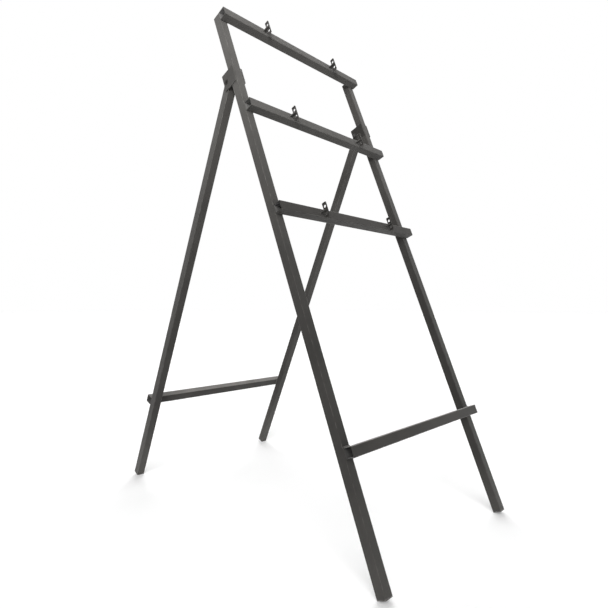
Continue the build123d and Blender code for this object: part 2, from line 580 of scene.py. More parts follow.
@dataclass(frozen=True)
class SocketGrime(MottledFinish):
    """Near-black colour in a bolt's socket: painted shade in its recess."""

    name: str = "socket_grime"
    # Near black: painted shade in the socket.
    dark: Colour = (0.006, 0.0056, 0.005, 1.0)
    light: Colour = (0.016, 0.015, 0.0135, 1.0)
    mottle: Noise = Noise(1400.0, 5.0, 0.65)
    tone_fade: Fade | None = Fade(0.35, 0.7)
    gloss_fade: Fade = Fade(0.3, 0.7, 0.85, 0.65)
    grain: Noise = Noise(1400.0, 5.0, 0.65)
    grain_depth: float = 0.05 * MM
    specular: float = 0.2


@dataclass(frozen=True)
class LockingNylon(MottledFinish):
    """Dark nylon of the locking ring in a nut."""

    name: str = "locking_nylon"
    dark: Colour = (0.024, 0.0235, 0.0240, 1.0)
    light: Colour = (0.038, 0.0372, 0.0378, 1.0)
    mottle: Noise = Noise(900.0, 4.0, 0.55)
    tone_fade: Fade | None = None
    gloss_fade: Fade = Fade(0.3, 0.7, 0.42, 0.58)
    grain: Noise = Noise(900.0, 4.0, 0.55)
    grain_depth: float = 0.02 * MM


def settle_order(shape: BMesh) -> None:
    """Put points and faces in a fixed order, since spin and extrude leave the faces in any order.

    Args:
        shape: The mesh.
    """
    shape.verts.sort(key=lambda vertex: vertex.co.dot(ORDER_LINE))
    shape.verts.index_update()
    count = len(shape.verts)

    def rank(face: BMFace) -> int:
        """Rank a face by its first three points."""
        first, second, third = sorted(vertex.index for vertex in face.verts)[:3]
        return (first * count + second) * count + third

    shape.faces.sort(key=rank)


@dataclass(frozen=True)
class Piece:
    """What a finished mesh needs to become a piece of the object."""

    name: str
    body: Body
    slot: Slot
    material: Material
    replaces: tuple[str, ...] = ()
    second_material: Material | None = None
    sharp_angle: float = math.radians(35.0)

    def place(self, shape: BMesh) -> Object:
        """Clean a mesh, dress it and let it ride on its body.

        Args:
            shape: The mesh in the scene's axes. It is freed.

        Returns:
            The new object.
        """
        bmesh.ops.remove_doubles(shape, verts=shape.verts[:], dist=MERGE_DISTANCE)
        bmesh.ops.recalc_face_normals(shape, faces=shape.faces[:])
        settle_order(shape)
        mesh = bpy.data.meshes.new(self.name)
        shape.to_mesh(mesh)
        shape.free()
        mesh.shade_smooth()
        mesh.set_sharp_from_angle(angle=self.sharp_angle)
        mesh.materials.append(self.material)
        if self.second_material:
            mesh.materials.append(self.second_material)
        made = bpy.data.objects.new(self.name, mesh)
        bpy.context.scene.collection.objects.link(made)
        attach(made, self.body.value)
        if self.replaces:
            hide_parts(*self.replaces)
        return made


def dress_node(node: str, *materials: Material) -> Object:
    """Give a CAD node that keeps its shape its finishes.

    Args:
        node: Name of the node.
        *materials: The finishes, the main one first.

    Returns:
        The node's object.
    """
    kept = frame["nodes"][node]
    kept.data.materials.clear()
    for material in materials:
        kept.data.materials.append(material)
    return kept


def whole(shape: BMesh) -> list[BMVert | BMEdge | BMFace]:
    """All points, edges and faces of a mesh."""
    return shape.verts[:] + shape.edges[:] + shape.faces[:]


def grow_ring(shape: BMesh, edges: list[BMEdge], move: Callable[[Vector], Vector]) -> list[BMEdge]:
    """Extrude a loop of edges and move the new points.

    Args:
        shape: The mesh.
        edges: The loop.
        move: Gives the new place of a point of the loop.

    Returns:
        The edges of the new loop.
    """
    grown = bmesh.ops.extrude_edge_only(shape, edges=edges)["geom"]
    for vertex in grown:
        if isinstance(vertex, BMVert):
            vertex.co = move(vertex.co)
    return [edge for edge in grown if isinstance(edge, BMEdge)]


def to_radius(radius: float, height: float) -> Callable[[Vector], Vector]:
    """Make a move that sets a point's distance from the z axis and its height.

    Args:
        radius: The distance.
        height: The height.

    Returns:
        The move.
    """

    def move(point: Vector) -> Vector:
        """Move one point."""
        flat = point.to_2d().normalized() * radius
        return Vector((flat.x, flat.y, height))

    return move


def to_height(height: float) -> Callable[[Vector], Vector]:
    """Make a move that sets a point's height alone."""
    return lambda point: Vector((point.x, point.y, height))


def stack_rings(shape: BMesh, rim: list[BMEdge], rings: Iterable[tuple[float, float]]) -> list[BMEdge]:
    """Grow a turned surface from a loop of edges, ring by ring.

    Args:
        shape: The mesh.
        rim: The loop that it starts from.
        rings: Radius and height of each ring.

    Returns:
        The edges of the last ring.
    """
    for radius, height in rings:
        rim = grow_ring(shape, rim, to_radius(radius, height))
    return rim


def trim_radius(shape: BMesh, limit: Callable[[float], float]) -> None:
    """Pull in the points that stand too far from the z axis.

    Args:
        shape: The mesh.
        limit: Gives the largest distance at a height.
    """
    for vertex in shape.verts:
        flat = vertex.co.to_2d()
        most = limit(vertex.co.z)
        if flat.length > most:
            flat = flat.normalized() * most
            vertex.co = Vector((flat.x, flat.y, vertex.co.z))


@dataclass(frozen=True)
class Seam:
    """Line of one weld in the corner between two faces, in a leg frame's own axes."""

    start: Vector
    end: Vector
    first_face: Vector
    second_face: Vector
    leg: float


@dataclass(frozen=True)
class WeldBead:
    """Rippled fillet weld laid by hand, painted over with the frame."""

    ripple: float = 2.3 * MM
    steps: int = 5
    least_steps: int = 8
    swell: float = 0.13
    uneven: float = 0.07
    bow: float = 0.9 * MM
    sink: float = 0.35 * MM
    points: int = 7
    crown: float = 1.45
    end_taper: float = 1.8 * MM
    end_size: float = 0.45
    first_seed: int = 1000
    seed_step: int = 17

    def lay(self, shape: BMesh, seam: Seam, seed: int) -> None:
        """Lay one bead along a seam.

        Args:
            shape: The mesh that takes the bead.
            seam: Where it runs.
            seed: Sets its own unevenness.
        """
        chance = random.Random(seed)
        length = (seam.end - seam.start).length
        count = max(self.least_steps, round(length / self.ripple * self.steps))
        before = set(shape.verts)
        section = [shape.verts.new((0.0, -self.sink, -self.sink))]
        for index in range(self.points):
            turn = math.pi / 2 * index / (self.points - 1)
            across = seam.leg * max(math.cos(turn), 0.0) ** self.crown
            along = self.bow * math.sin(2 * turn)
            up = seam.leg * math.sin(turn) ** self.crown
            section.append(shape.verts.new((along, across, up)))
        tip = shape.faces.new(section)
        size = 1.0
        for step in range(count + 1):
            wanted = self._size_at(step / count * length, length)
            wanted *= 1 + self.uneven * chance.uniform(-1, 1)
            if step:
                grown = bmesh.ops.extrude_face_region(shape, geom=[tip])["geom"]
                tip = next(item for item in grown if isinstance(item, BMFace))
                bmesh.ops.translate(shape, verts=tip.verts[:], vec=(length / count, 0.0, 0.0))
            bmesh.ops.scale(shape, verts=tip.verts[:], vec=(1.0, wanted / size, wanted / size))
            size = wanted
        run = (seam.end - seam.start).normalized()
        turn = Matrix((run, seam.first_face, seam.second_face)).transposed().to_4x4()
        laid = [vertex for vertex in shape.verts if vertex not in before]
        bmesh.ops.transform(shape, matrix=Matrix.Translation(seam.start) @ turn, verts=laid)

    def _size_at(self, along: float, length: float) -> float:
        """Work out the bead's relative size, with its ripples and tapered ends.

        Args:
            along: Place along the bead.
            length: The bead's length.

        Returns:
            The size there, up to 1.
        """
        scallop = abs(math.sin(math.pi * along / self.ripple))
        nearest = min(along, length - along)
        rise = math.sin(math.pi / 2 * min(1.0, nearest / self.end_taper))
        taper = self.end_size + (1 - self.end_size) * rise
        return taper * (1 - self.swell * (1 - scallop))

    def build(self, seams: list[Seam], axes: LegAxes, piece: Piece) -> Object:
        """Lay all beads of one piece.

        Args:
            seams: Where they run.
            axes: The leg frame whose axes the seams are in.
            piece: What the beads become.

        Returns:
            The new object.
        """
        shape = bmesh.new()
        for index, seam in enumerate(seams):
            self.lay(shape, seam, seed=self.first_seed + self.seed_step * index + len(piece.name))
        bmesh.ops.transform(shape, matrix=axes.to_scene, verts=shape.verts[:])
        return piece.place(shape)


@dataclass
class TubeFrame:
    """One of the two leg frames: legs of square tube with cross tubes welded on their faces."""

    axes: LegAxes
    body: Body
    coat: Material
    bare: Material
    legs: dict[Side, str]
    cross_tubes: tuple[str, ...]
    own_coats: dict[str, Material] = field(default_factory=dict)
    wall: float = 1.6 * MM
    inside_share: float = 0.75
    end_facing: float = 0.05
    bead: WeldBead = WeldBead()
    weld_leg: float = 3.0 * MM
    weld_margin: float = 1.2 * MM

    def build(self) -> list[Object]:
        """Dress the tubes and weld them together.

        Returns:
            All pieces of the frame.
        """
        made = [self._dress_tube(node) for node in (*self.legs.values(), *self.cross_tubes)]
        for tube in self.cross_tubes:
            seams = [seam for side in Side for seam in self._seams(tube, side)]
            piece = Piece(f"{tube}_welds", self.body, Slot.FRAME, self._coat_of(tube))
            made.append(self.bead.build(seams, self.axes, piece))
        return made

    def _coat_of(self, node: str) -> Material:
        """Give a tube's own coat, or the frame's."""
        return self.own_coats.get(node, self.coat)

    def _dress_tube(self, node: str) -> Object:
        """Coat a tube outside and leave its inside bare.

        Args:
            node: Node of the tube.

        Returns:
            The tube.
        """
        tube = dress_node(node, self._coat_of(node), self.bare)
        low, high = self.axes.span(node)
        middle = (low + high) / 2
        half = (high - low) / 2
        run = max(range(3), key=lambda axis: half[axis])
        around = [axis for axis in range(3) if axis != run]
        depth = self.inside_share * self.wall
        turn = self.axes.from_scene.to_3x3()
        for polygon in tube.data.polygons:
            offset = turn @ polygon.center - middle
            facing = turn @ polygon.normal
            inside = all(abs(offset[axis]) < half[axis] - depth for axis in around)
            polygon.material_index = int(inside and abs(facing[run]) < self.end_facing)
        return tube

    def _seams(self, tube: str, side: Side) -> list[Seam]:
        """Find the corners where a cross tube meets a leg.

        Args:
            tube: Node of the cross tube.
            side: Which leg.

        Returns:
            The seams on the tube's upper edge and beside the leg. An edge flush with the leg's end has none.
        """
        low, high = self.axes.span(tube)
        leg_low, leg_high = self.axes.span(self.legs[side])
        in_front = high.y < (leg_low.y + leg_high.y) / 2
        contact = high.y if in_front else low.y
        off_leg = -BACK if in_front else BACK
        seams = []
        if leg_high.z - high.z > self.weld_leg:
            start = Vector((leg_low.x + self.weld_margin, contact, high.z))
            end = Vector((leg_high.x - self.weld_margin, contact, high.z))
            seams.append(Seam(start, end, UP, off_leg, self.weld_leg))
        inner = leg_high.x if side is Side.LEFT else leg_low.x
        start = Vector((inner, contact, low.z + self.weld_margin))
        end = Vector((inner, contact, high.z - self.weld_margin))
        seams.append(Seam(start, end, -side.value * ACROSS, -off_leg, self.weld_leg))
        return seams


@dataclass(frozen=True)
class Hole:
    """Round hole in a plate, with the radius of its countersink's mouth where it has one."""

    middle: Vector
    radius: float
    mouth: float = 0.0


@dataclass(frozen=True)
class Plate:
    """Laser-cut plate with eased edges, lying in the plane of a leg frame's y and z axes."""

    thick: float
    ease: float = 0.45 * MM
    hole_segments: int = 40
    corner_segments: int = 5

    def rounded(self, shape: BMesh, low: Vector, high: Vector, corner: float) -> None:
        """Draw a rectangle with rounded corners.

        Args:
            shape: The empty mesh.
            low: Its lowest corner in y and z.
            high: Its highest corner in y and z.
            corner: Radius of its corners.
        """
        centre = (low + high) / 2
        scale = Matrix.Diagonal((high.y - low.y, high.z - low.z, 1.0, 1.0))
        bmesh.ops.create_grid(shape, x_segments=1, y_segments=1, size=UNIT_GRID,
                              matrix=Matrix.Translation((0.0, centre.y, centre.z)) @ PLATE_PLANE @ scale)
        bmesh.ops.bevel(shape, geom=shape.verts[:], offset=corner, affect="VERTICES",
                        segments=self.corner_segments, profile=0.5, material=-1)

    def cut(self, shape: BMesh, holes: list[Hole], middle_x: float, mouth_side: int = 1) -> None:
        """Turn a drawn outline into a plate with holes and eased edges.

        Args:
            shape: The outline, which becomes the plate.
            holes: Its holes.
            middle_x: Where the middle of the plate's thickness goes.
            mouth_side: Side of the plate, along x, on which countersinks open.
        """
        bmesh.ops.dissolve_faces(shape, faces=shape.faces[:])
        bmesh.ops.delete(shape, geom=shape.faces[:], context="FACES_ONLY")
        for hole in holes:
            bmesh.ops.create_circle(shape, segments=self.hole_segments, radius=hole.radius,
                                    matrix=Matrix.Translation(hole.middle) @ PLATE_PLANE)
        bmesh.ops.triangle_fill(shape, edges=shape.edges[:], use_beauty=True, normal=ACROSS)
        half = self.thick / 2
        rim = [edge for edge in shape.edges if edge.is_boundary]
        bmesh.ops.translate(shape, verts=shape.verts[:], vec=(half - self.ease, 0.0, 0.0))
        grow_ring(shape, rim, lambda point: Vector((0.0, point.y, point.z)))
        face = [item for item in shape.faces if all(vertex.co.x > half / 2 for vertex in item.verts)]
        bmesh.ops.inset_region(shape, faces=face, thickness=self.ease, use_even_offset=True)
        raised = {vertex for item in face for vertex in item.verts}
        bmesh.ops.translate(shape, verts=list(raised), vec=(self.ease, 0.0, 0.0))
        bmesh.ops.mirror(shape, geom=whole(shape), merge_dist=MERGE_DISTANCE, axis="X")
        for hole in holes:
            if hole.mouth:
                self._countersink(shape, hole, mouth_side)
        bmesh.ops.translate(shape, verts=shape.verts[:], vec=(middle_x, 0.0, 0.0))

    def _countersink(self, shape: BMesh, hole: Hole, mouth_side: int) -> None:
        """Open a hole to a right-angled cone on one side of the plate.

        Args:
            shape: The plate.
            hole: The hole.
            mouth_side: Side of the plate, along x, on which the cone opens.
        """
        near = hole.radius + 2 * self.ease
        for vertex in shape.verts:
            offset = Vector((vertex.co.y - hole.middle.y, vertex.co.z - hole.middle.z))
            depth = self.thick / 2 - mouth_side * vertex.co.x
            wanted = hole.mouth - depth
            if offset.length < near and wanted > offset.length:
                offset = offset.normalized() * wanted
                vertex.co.y = hole.middle.y + offset.x
                vertex.co.z = hole.middle.z + offset.y


@dataclass
class SignLugs:
    """Six lugs, two to a rail: an upright strip with pin holes, on a flat tab to its left."""

    axes: LegAxes
    # coat is darker than the frame's: painted shade on the lugs.
    coat: Material
    # The tab's left edge is painted lighter: a painted highlight.
    worn_coat: Material
    thick: float = 3.0 * MM
    strip_width: float = 14.0 * MM
    corner: float = 2.0 * MM
    tab_length: float = 21.0 * MM
    tab_drop: float = 2.25 * MM
    tab_ease: float = 0.45 * MM
    tab_ease_segments: int = 2
    tab_sink: float = 0.6 * MM
    sharp_angle: float = 1.0
    worn_reach: float = 1.05
    weld_leg: float = 1.4 * MM
    bead: WeldBead = WeldBead(ripple=1.6 * MM, bow=0.35 * MM, sink=0.25 * MM, end_taper=1.0 * MM)

    def build(self) -> list[Object]:
        """Cut the lugs and weld them to their rails.

        Returns:
            The lugs and the welds at their roots.
        """
        made = []
        for tier in Tier:
            for side in Side:
                node = f"sign_lug_{tier.value}_{side.word}"
                made += [self._lug(node), self._root_welds(node)]
        return made

    def _lug(self, node: str) -> Object:
        """Cut one lug.

        Args:
            node: Its node.

        Returns:
            The lug.
        """
        low, high = self.axes.span(node)
        shape = bmesh.new()
        plate = Plate(thick=self.thick)
        plate.rounded(shape, low, Vector((0.0, low.y + self.strip_width, high.z)), self.corner)
        plate.cut(shape, self._pin_holes(node), high.x - self.thick / 2)
        self._add_tab(shape, low, high)
        bmesh.ops.transform(shape, matrix=self.axes.to_scene, verts=shape.verts[:])
        piece = Piece(f"{node}_plate", Body.FRONT, Slot.FRAME, self.coat, (node,), self.worn_coat)
        return piece.place(shape)

    def _tab_span(self, low: Vector, high: Vector) -> tuple[Vector, Vector]:
        """Work out where a lug's tab lies.

        Args:
            low: The lug's lowest corner in the leg frame.
            high: The lug's highest corner in the leg frame.

        Returns:
            The tab's lowest and highest corners.
        """
        middle = (low.z + high.z) / 2 - self.tab_drop
        tab_low = Vector((low.x, high.y - self.tab_length, middle - self.thick / 2))
        return tab_low, Vector((high.x, high.y, middle + self.thick / 2))

    def _add_tab(self, shape: BMesh, low: Vector, high: Vector) -> None:
        """Add the flat tab, notched round the strip, with a lighter coat on its left edge as a painted highlight.

        Args:
            shape: The strip, which takes up the tab.
            low: The lug's lowest corner in the leg frame.
            high: The lug's highest corner in the leg frame.
        """
        tab_low, tab_high = self._tab_span(low, high)
        centre = (tab_low + tab_high) / 2
        notch_x = high.x - self.thick + self.tab_sink
        notch_y = low.y + self.strip_width - self.tab_sink
        scale = Matrix.Diagonal((*(tab_high - tab_low), 1.0))
        place = Matrix.Translation((centre.x, centre.y, tab_low.z)) @ scale
        grid = bmesh.ops.create_grid(shape, x_segments=2, y_segments=2, size=UNIT_GRID, matrix=place)
        corners = grid["verts"]
        cells = [face for face in shape.faces if face.verts[0] in corners]
        for corner in corners:
            if abs(corner.co.x - centre.x) < MERGE_DISTANCE:
                corner.co.x = notch_x
            if abs(corner.co.y - centre.y) < MERGE_DISTANCE:
                corner.co.y = notch_y
        notch = [cell for cell in cells if min(v.co.x for v in cell.verts) > notch_x - MERGE_DISTANCE
                 and max(v.co.y for v in cell.verts) < notch_y + MERGE_DISTANCE]
        bmesh.ops.delete(shape, geom=notch, context="FACES")
        outline = bmesh.ops.dissolve_faces(shape, faces=[cell for cell in cells if cell.is_valid])["region"]
        raised = bmesh.ops.extrude_face_region(shape, geom=outline)["geom"]
        top = [item for item in raised if isinstance(item, BMVert)]
        bmesh.ops.translate(shape, verts=top, vec=UP * self.thick)
        own = {edge for vertex in top for face in vertex.link_faces for edge in face.edges}
        own |= {edge for face in outline if face.is_valid for edge in face.edges}
        sharp = [edge for edge in shape.edges if edge in own and edge.calc_face_angle(0.0) > self.sharp_angle]
        bmesh.ops.bevel(shape, geom=sharp, offset=self.tab_ease, affect="EDGES",
                        segments=self.tab_ease_segments, profile=0.5, material=-1)
        # Faces along the tab's left edge take the lighter coat: a painted highlight.
        highlight_x = low.x + self.worn_reach * self.tab_ease
        for face in shape.faces:
            if all(vertex.co.x < highlight_x for vertex in face.verts):
                face.material_index = 1

    def _pin_holes(self, node: str) -> list[Hole]:
        """Read a lug's pin holes from the record.

        Args:
            node: The lug's node.

        Returns:
            The holes.
        """
        start = node.replace("sign_lug", "pin_hole") + "_"
        found = [mount for mount in RECORD["mounts"] if mount["name"].startswith(start)]
        holes = []
        for mount in found:
            middle = self.axes.locate(mount["pos_m"])
            middle.x = 0.0
            holes.append(Hole(middle, mount["dims"]["r_mm"] * MM))
        return holes

    def _root_welds(self, node: str) -> Object:
        """Weld one lug's tab to its rail, along its upper and its lower face.

        Args:
            node: The lug's node.

        Returns:
            The welds.
        """
        tab_low, tab_high = self._tab_span(*self.axes.span(node))
        seams = []
        for level, away in ((tab_low.z, -UP), (tab_high.z, UP)):
            start = Vector((tab_low.x, tab_high.y, level))
            end = Vector((tab_high.x, tab_high.y, level))
            seams.append(Seam(start, end, away, -BACK, self.weld_leg))
        piece = Piece(f"{node}_welds", Body.FRONT, Slot.FRAME, self.coat)
        return self.bead.build(seams, self.axes, piece)


@dataclass
class Hinge:
    """One hinge: two cheek plates on the front leg, and the bolt, washer and nut of the rear leg's pivot."""

    axes: LegAxes
    side: Side
    # The outer cheeks' coat and the inner cheeks' coat are darker than the frame's: painted shade.
    coat: Material
    inner_coat: Material
    oxide: Material
    grime: Material
    nylon: Material
    cheek_corner: float = 2.0 * MM
    bolt_width: float = 8.0 * MM
    hole_play: float = 0.2 * MM
    head_ease: float = 0.25 * MM
    head_rim: float = 0.4
    socket_flats: float = 5.0 * MM
    socket_depth: float = 3.0 * MM
    socket_ease: float = 0.3 * MM
    socket_floor: float = 0.6
    thread_pitch: float = 1.25 * MM
    thread_depth: float = 0.62 * MM
    thread_length: float = 7.0 * MM
    thread_rise: tuple[float, float] = (0.22, 0.5)
    thread_fall: tuple[float, float] = (0.64, 0.92)
    spare_turns: int = 2
    tail_chamfer: float = 0.8 * MM
    collar_width: float = 11.4 * MM
    collar_height: float = 1.6 * MM
    collar_lip: float = 0.75 * MM
    lip_round: float = 0.3
    lip_fall: float = 0.15
    nut_chamfer: float = math.radians(30.0)
    nut_face: float = 0.95
    chamfer_steps: int = 5
    ring_width: float = 0.75 * MM
    ring_bite: float = 0.2
    ring_drop: float = 0.35
    ring_ease: float = 0.3
    ease_segments: int = 3
    washer_ease: float = 0.35 * MM
    weld_margin: float = 2.0 * MM
    upper_weld_leg: float = 3.0 * MM
    lower_weld_leg: float = 1.6 * MM
    bead: WeldBead = WeldBead(ripple=2.0 * MM, bow=0.7 * MM)
    facets: int = 48

    @property
    def pivot(self) -> Vector:
        """The hinge's axis in the front frame's own axes."""
        joint = next(joint for joint in frame["joints"] if joint["name"] == "fold")
        return self.axes.locate(joint["pos_m"])

    def node(self, stem: str) -> str:
        """Name of one of the hinge's nodes."""
        return f"{stem}_{self.side.word}"

    def build(self) -> list[Object]:
        """Make the hinge's pieces.

        Returns:
            Cheeks, welds, bolt, washer, nut and locking ring.
        """
        made = [self._cheek(place) for place in Place]
        made.append(self._welds())
        made += [self._bolt(), self._washer(), self._nut(), self._locking_ring()]
        return made

    def _cheek(self, place: Place) -> Object:
        """Cut one cheek plate, the outer one countersunk for the bolt's head.

        Args:
            place: Which of the two plates.

        Returns:
            The plate.
        """
        node = self.node(f"hinge_cheek_{place.value}")
        low, high = self.axes.span(node)
        _, _, bolt_size = self._measure("pivot_bolt")
        mouth = bolt_size.y / 2 + self.hole_play if place is Place.OUTER else 0.0
        middle = Vector((0.0, self.pivot.y, self.pivot.z))
        hole = Hole(middle, self.bolt_width / 2 + self.hole_play, mouth)
        plate = Plate(thick=high.x - low.x)
        shape = bmesh.new()
        plate.rounded(shape, low, high, self.cheek_corner)
        plate.cut(shape, [hole], (low.x + high.x) / 2, self.side.value)
        bmesh.ops.transform(shape, matrix=self.axes.to_scene, verts=shape.verts[:])
        # Both cheek coats are darker copies of the frame's coat: painted shade.
        coat = self.coat if place is Place.OUTER else self.inner_coat
        return Piece(f"{node}_plate", Body.FRONT, Slot.FRAME, coat, (node,)).place(shape)

    def _welds(self) -> Object:
        """Weld the cheeks to the sides of the front leg along their top and bottom edges.

        Returns:
            The four beads.
        """
        leg_low, leg_high = self.axes.span(self.node("front_leg"))
        cheek_low, cheek_high = self.axes.span(self.node("hinge_cheek_outer"))
        edges = ((cheek_high.z, UP, self.upper_weld_leg), (cheek_low.z, -UP, self.lower_weld_leg))
        seams = []
        for x, away in ((leg_low.x, -ACROSS), (leg_high.x, ACROSS)):
            for level, face, leg in edges:
                start = Vector((x, leg_low.y + self.weld_margin, level))
                end = Vector((x, leg_high.y - self.weld_margin, level))
                seams.append(Seam(start, end, face, away, leg))
        node = self.node("hinge_welds")
        piece = Piece(f"{node}_beads", Body.FRONT, Slot.FRAME, self.coat, (node,))
        return self.bead.build(seams, self.axes, piece)

    def _onto_axis(self, shape: BMesh, start_x: float) -> None:
        """Stand a turned shape, made along z, on the hinge's axis, with z towards the frame's middle.

        Args:
            shape: The shape, with z = 0 at its start.
            start_x: Where its start goes along x.
        """
        run = -self.side.value
        turn = Matrix((BACK, UP * run, ACROSS * run)).transposed().to_4x4()
        place = Matrix.Translation((start_x, self.pivot.y, self.pivot.z))
        bmesh.ops.transform(shape, matrix=self.axes.to_scene @ place @ turn, verts=shape.verts[:])

    def _measure(self, stem: str) -> tuple[str, float, Vector]:
        """Measure a fastener.

        Args:
            stem: Its node's name without the side.

        Returns:
            Its node, where it starts along x on the outside of the hinge, and its size.
        """
        node = self.node(stem)
        low, high = self.axes.span(node)
        return node, low.x if self.side is Side.LEFT else high.x, high - low

    def _hexagon(self, radius: float, turn: float = 0.0) -> BMesh:
        """Draw a hexagon whose sides are divided as finely as the turned faces.

        Args:
            radius: Distance of its corners from the z axis.
            turn: Angle that it is turned by.

        Returns:
            The outline.
        """
        shape = bmesh.new()
        bmesh.ops.create_circle(shape, segments=HEXAGON, radius=radius, matrix=Matrix.Rotation(turn, 4, "Z"))
        bmesh.ops.subdivide_edges(shape, edges=shape.edges[:], cuts=self.facets // HEXAGON - 1)
        return shape

    def _bolt(self) -> Object:
        """Turn the countersunk bolt, broach its socket and cut its thread.

        Returns:
            The bolt.
        """
        node, outside, size = self._measure("pivot_bolt")
        head = size.y / 2
        shank = self.bolt_width / 2
        length = size.x
        thread_start = length - self.thread_length

        corner = self.socket_flats / math.sqrt(3.0)
        shrink = corner / (corner + self.socket_ease)
        shape = self._hexagon(corner + self.socket_ease)
        mouth = shape.edges[:]
        walls = grow_ring(shape, mouth, lambda point: Vector(
            (point.x * shrink, point.y * shrink, self.socket_ease)))
        walls = grow_ring(shape, walls, to_height(self.socket_depth - self.socket_ease))
        floor = grow_ring(shape, walls, to_radius(self.socket_floor * corner, self.socket_depth))
        bmesh.ops.holes_fill(shape, edges=floor)
        # The socket's faces take the painted shade.
        for face in shape.faces:
            face.material_index = 1
        rings = (
            (head - self.head_ease, 0.0),
            (head, self.head_rim * self.head_ease),
            (shank, head - shank),
            (shank, thread_start),
            (shank - self.thread_depth, thread_start + self.thread_depth),
        )
        bmesh.ops.holes_fill(shape, edges=stack_rings(shape, mouth, rings))
        self._thread(shape, thread_start, length)
        self._onto_axis(shape, outside)
        piece = Piece(f"{node}_turned", Body.FRONT, Slot.FASTENER, self.oxide, (node,), self.grime)
        return piece.place(shape)

    def _thread(self, shape: BMesh, start: float, end: float) -> None:
        """Cut the thread of the bolt's end as one helix.

        Args:
            shape: The bolt along z, which takes the thread.
            start: Height where the thread starts.
            end: Height of the bolt's end.
        """
        thread = bmesh.new()
        crest = self.bolt_width / 2
        root = crest - self.thread_depth
        turns = math.ceil((end - start) / self.thread_pitch) + self.spare_turns
        foot, top = self.thread_rise
        top_end, foot_end = self.thread_fall
        form = ((root, 0.0), (root, foot), (crest, top), (crest, top_end), (root, foot_end))
        line = [
            thread.verts.new((radius, 0.0, start + (turn - 1 + share) * self.thread_pitch))
            for turn in range(turns) for radius, share in form
        ]
        edges = [thread.edges.new(pair) for pair in zip(line, line[1:])]
        bmesh.ops.spin(thread, geom=line + edges, cent=(0.0, 0.0, 0.0), axis=UP, angle=math.tau,
                       steps=self.facets, dvec=UP * (self.thread_pitch / self.facets), use_merge=False)
        bmesh.ops.remove_doubles(thread, verts=thread.verts[:], dist=MERGE_DISTANCE)
        for height, outward in ((end, UP), (start + self.thread_depth, -UP)):
            bmesh.ops.bisect_plane(thread, geom=whole(thread), plane_co=UP * height, plane_no=outward,
                                   clear_outer=True)
        bmesh.ops.holes_fill(thread, edges=[edge for edge in thread.edges if edge.is_boundary])
        trim_radius(thread, lambda height: crest - self.tail_chamfer + max(0.0, end - height))
        bmesh.ops.recalc_face_normals(thread, faces=thread.faces[:])
        made = bpy.data.meshes.new("thread")
        thread.to_mesh(made)
        thread.free()
        shape.from_mesh(made)
        bpy.data.meshes.remove(made)

    def _washer(self) -> Object:
        """Turn the washer with its punched, rounded edges.

        Returns:
            The washer.
        """
        node, outside, size = self._measure("pivot_washer")
        inner = self.bolt_width / 2 + self.hole_play
        shape = self._turned_ring(inner, size.y / 2, size.x, self.washer_ease)
        self._onto_axis(shape, outside)
        return Piece(f"{node}_turned", Body.FRONT, Slot.FASTENER, self.oxide, (node,)).place(shape)

    def _turned_ring(self, inner: float, outer: float, height: float, ease: float) -> BMesh:
        """Spin a flat ring with eased edges about z, standing on z = 0.

        Args:
            inner: Radius of its hole.
            outer: Outer radius.
            height: Its height.
            ease: Radius of its edges.

        Returns:
            The ring.
        """
        shape = bmesh.new()
        upright = Matrix.Rotation(math.pi / 2, 4, "X")
        scale = Matrix.Diagonal((outer - inner, height, 1.0, 1.0))
        middle = Matrix.Translation(((inner + outer) / 2, 0.0, height / 2))
        bmesh.ops.create_grid(shape, x_segments=1, y_segments=1, size=UNIT_GRID,
                              matrix=middle @ upright @ scale)
        bmesh.ops.bevel(shape, geom=shape.verts[:], offset=ease, affect="VERTICES",
                        segments=self.ease_segments, profile=0.5, material=-1)
        bmesh.ops.delete(shape, geom=shape.faces[:], context="FACES_ONLY")
        bmesh.ops.spin(shape, geom=shape.verts[:] + shape.edges[:], cent=(0.0, 0.0, 0.0), axis=UP,
                       angle=math.tau, steps=self.facets, use_merge=True)
        return shape

    def _nut(self) -> Object:
        """Make the lock nut: a chamfered hexagon with a rolled collar.

        Returns:
            The nut.
        """
        node, outside, size = self._measure("pivot_nut")
        corners = max(size.y, size.z) / 2
        face = self.nut_face * min(size.y, size.z) / 2
        top = size.x
        hexagon_top = top - self.collar_height
        collar = self.collar_width / 2
        mouth = self.bolt_width / 2 + self.ring_width
        lip = self.collar_lip

        shape = self._hexagon(corners, math.pi / HEXAGON if size.z > size.y else 0.0)
        base = shape.edges[:]
        slope = 1.0 / math.tan(self.nut_chamfer)
        chamfer_height = (corners - face) / slope
        levels = [chamfer_height * step / self.chamfer_steps for step in range(1, self.chamfer_steps + 1)]
        rim = base
        for level in levels + [hexagon_top - level for level in (*reversed(levels), 0.0)]:
            rim = grow_ring(shape, rim, to_height(level))
        trim_radius(shape, lambda height: face + slope * min(height, hexagon_top - height))
        rings = (
            (collar, hexagon_top),
            (collar, top - lip),
            (collar - self.lip_round * lip, top - self.lip_round * lip),
            (collar - lip, top),
            (mouth, top - self.lip_fall * lip),
            (mouth, hexagon_top),
        )
        bmesh.ops.holes_fill(shape, edges=stack_rings(shape, rim, rings))
        bmesh.ops.holes_fill(shape, edges=base)
        self._onto_axis(shape, outside)
        return Piece(f"{node}_forged", Body.FRONT, Slot.FASTENER, self.oxide, (node,)).place(shape)

